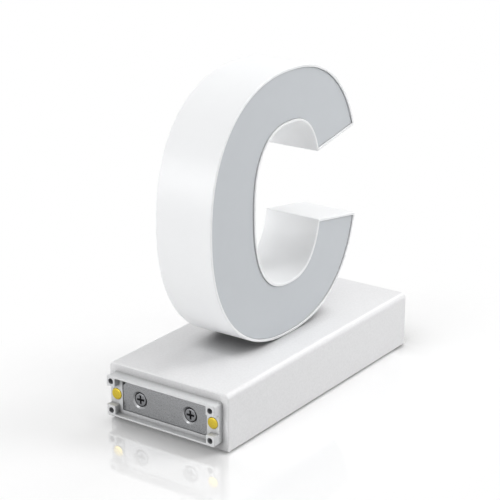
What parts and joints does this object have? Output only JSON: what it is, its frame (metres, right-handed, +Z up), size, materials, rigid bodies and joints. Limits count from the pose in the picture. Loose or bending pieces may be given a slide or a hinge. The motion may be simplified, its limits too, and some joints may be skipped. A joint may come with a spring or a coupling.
{
  "type": "light-up letter on a plug-in base",
  "caption": "Light-up channel letter C with a recessed translucent face, standing on a slim white base with a plug at one end and a matching socket at the other.",
  "frame": {"origin": "centre of the anti-slip pad's underside, below the middle of the base", "axes": "+X along the base from the plug to the socket, the lit face looks along -Y, +Z up"},
  "size_m": [0.1242, 0.052, 0.1219],
  "materials": {
    "letter_white": "smooth satin white, slightly translucent",
    "letter_face": "satin translucent face, unlit grey",
    "base_white": "smooth satin white",
    "frame_plastic": "fine matte light grey",
    "plate_steel": "fine horizontal brushing",
    "screw_steel": "bright zinc plate",
    "contact_gold": "gold plate, polished",
    "terminal_brass": "tinned brass",
    "spring_steel": "drawn wire",
    "pin_steel": "ground",
    "magnet_nickel": "nickel plate",
    "board_white": "white solder mask",
    "board_green": "green solder mask",
    "led_lens": "yellow phosphor",
    "chip_black": "moulded black",
    "can_aluminium": "bare drawn can",
    "connector_ivory": "moulded ivory",
    "lead_red": "satin insulation",
    "lead_black": "satin insulation",
    "pad_rubber": "dull anti-slip sheet",
    "bush_rubber": "moulded bush"
  },
  "bodies": {
    "unit": {"letter_return": "letter_white", "letter_face": "letter_face", "letter_back": "letter_white", "back_screws": "screw_steel", "led_board": "board_white", "led_board_screws": "screw_steel", "leds": "led_lens", "led_resistors": "chip_black", "anchor_block": "frame_plastic", "anchor_screws": "screw_steel", "lead_bush": "bush_rubber", "letter_lead_positive": "lead_red", "letter_lead_negative": "lead_black", "base_housing": "base_white", "base_plate": "base_white", "base_plate_screws": "screw_steel", "base_pad": "pad_rubber", "plug_frame": "frame_plastic", "catch_plate": "plate_steel", "catch_plate_screws": "screw_steel", "catch_plate_nuts": "screw_steel", "front_contact_spring": "spring_steel", "front_contact_terminal": "terminal_brass", "rear_contact_spring": "spring_steel", "rear_contact_terminal": "terminal_brass", "socket_frame": "frame_plastic", "socket_magnets": "magnet_nickel", "socket_pins": "pin_steel", "front_stud": "contact_gold", "rear_stud": "contact_gold", "driver_board": "board_green", "board_screws": "screw_steel", "inductor": "chip_black", "capacitors": "can_aluminium", "regulator": "chip_black", "lead_connectors": "connector_ivory", "plug_lead_positive": "lead_red", "plug_lead_negative": "lead_black", "socket_lead_positive": "lead_red", "socket_lead_negative": "lead_black"},
    "front_contact_button": {"front_contact": "contact_gold", "front_contact_clip": "screw_steel"},
    "rear_contact_button": {"rear_contact": "contact_gold", "rear_contact_clip": "screw_steel"}
  },
  "joints": [
    {"name": "front_contact_slide", "type": "slide", "parent": "unit", "child": "front_contact_button", "axis": [1, 0, 0], "range_m": [0, 0.0008], "stiffness_N_per_m": 400, "springref_m": -0.0005, "deforming": ["front_contact_spring"]},
    {"name": "rear_contact_slide", "type": "slide", "parent": "unit", "child": "rear_contact_button", "axis": [1, 0, 0], "range_m": [0, 0.0008], "stiffness_N_per_m": 400, "springref_m": -0.0005, "deforming": ["rear_contact_spring"]}
  ]
}
